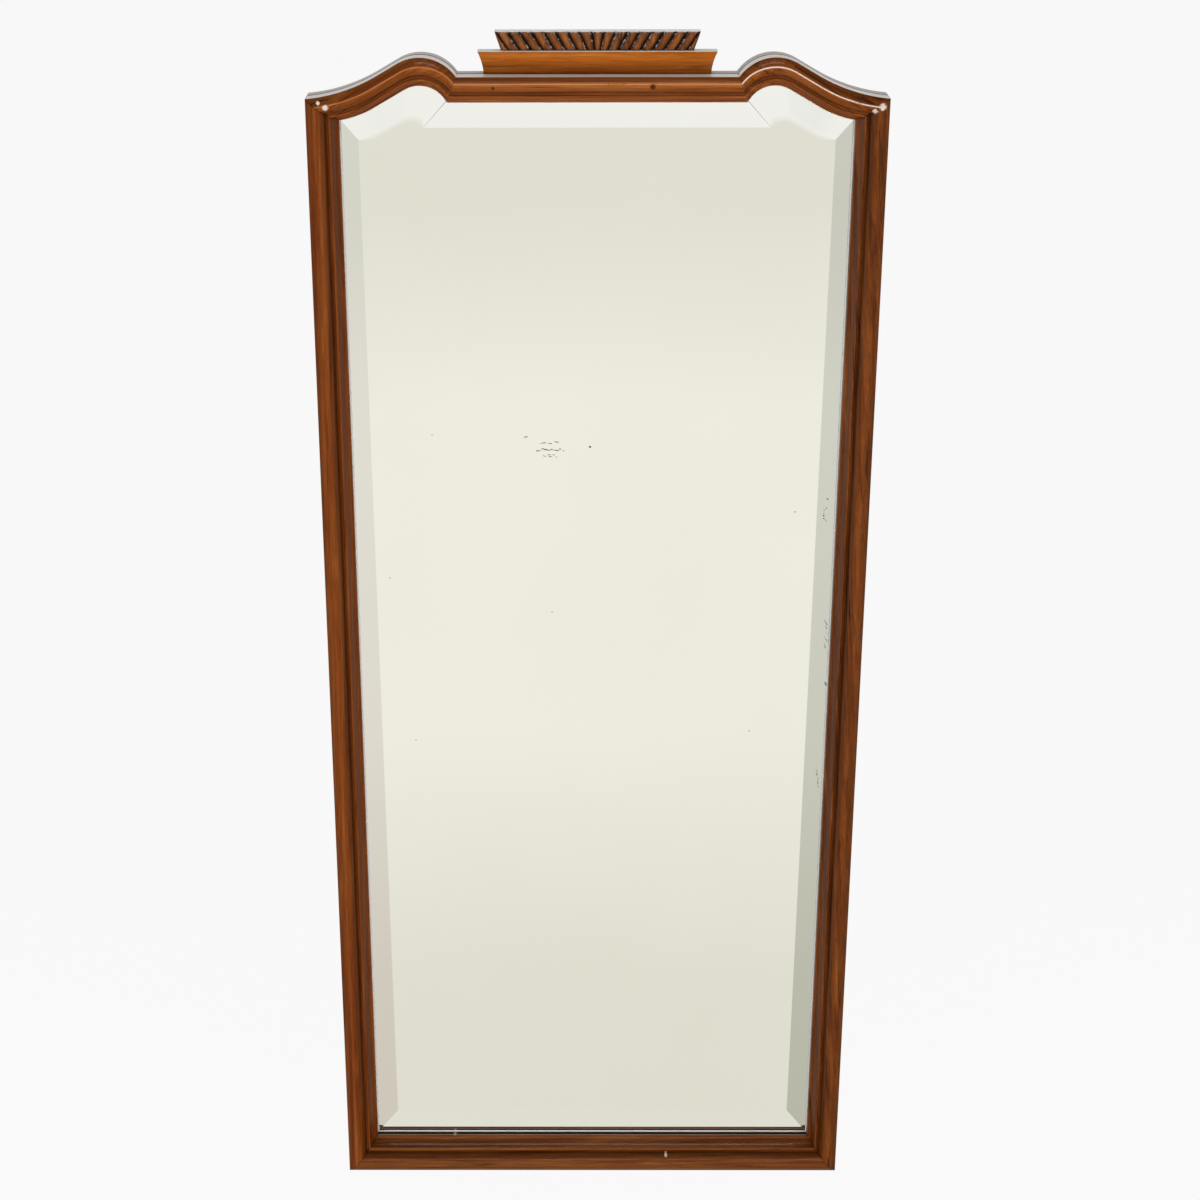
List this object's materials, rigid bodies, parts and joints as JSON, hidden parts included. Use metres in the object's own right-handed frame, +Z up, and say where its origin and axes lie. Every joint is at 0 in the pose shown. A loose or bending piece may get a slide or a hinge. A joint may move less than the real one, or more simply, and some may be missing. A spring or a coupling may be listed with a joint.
{
  "type": "pier mirror",
  "caption": "Tall wall mirror: bevelled plate in a moulded walnut frame with ogee shoulders, a gadrooned crest and hinged hanging rings on its back.",
  "frame": {"origin": "On the plane of the frame's back, midway between the hinge lines of the two hanging rings, where the wall holds the mirror.", "axes": "+Z is up, -Y is the way the mirror faces, +Y is towards the wall, +X is to the right of someone who looks into the mirror."},
  "size_m": [0.61, 0.0507, 1.404],
  "materials": {
    "walnut": "glossy varnish over streaked walnut",
    "crest": "glossy varnish over lighter walnut",
    "carved_crest": "dark glossy carved walnut",
    "back_frame": "stained softwood",
    "beech": "raw",
    "backboard": "raw plywood",
    "mirror_glass": "aged silvering with foxing",
    "brass": "dulled",
    "steel": "dulled"
  },
  "bodies": {
    "mirror_body": {"left_stile": "walnut", "right_stile": "walnut", "bottom_rail": "walnut", "top_rail": "walnut", "left_shoulder": "walnut", "right_shoulder": "walnut", "left_back_stile": "back_frame", "right_back_stile": "back_frame", "bottom_back_rail": "back_frame", "top_back_rail": "back_frame", "bottom_left_spline": "beech", "bottom_right_spline": "beech", "top_left_spline": "beech", "top_right_spline": "beech", "mirror_plate": "mirror_glass", "left_setting_block": "beech", "right_setting_block": "beech", "backboard": "backboard", "board_screw_left_1": "steel", "board_screw_left_2": "steel", "board_screw_left_3": "steel", "board_screw_right_1": "steel", "board_screw_right_2": "steel", "board_screw_right_3": "steel", "board_screw_bottom_left": "steel", "board_screw_bottom_right": "steel", "board_screw_top_left": "steel", "board_screw_top_right": "steel", "crest_base": "crest", "gadrooned_crest": "carved_crest", "left_crest_dowel": "beech", "right_crest_dowel": "beech", "left_hanger": "brass", "right_hanger": "brass", "left_hanger_screw_upper": "brass", "left_hanger_screw_lower": "brass", "right_hanger_screw_upper": "brass", "right_hanger_screw_lower": "brass"},
    "left_ring_body": {"left_ring": "brass"},
    "right_ring_body": {"right_ring": "brass"}
  },
  "joints": [
    {"name": "left_ring_swing", "type": "hinge", "parent": "mirror_body", "child": "left_ring_body", "pos_m": [-0.2945, 0.0035, 0], "axis": [1, 0, 0], "range_deg": [0, 180]},
    {"name": "right_ring_swing", "type": "hinge", "parent": "mirror_body", "child": "right_ring_body", "pos_m": [0.2945, 0.0035, 0], "axis": [1, 0, 0], "range_deg": [0, 180]}
  ]
}
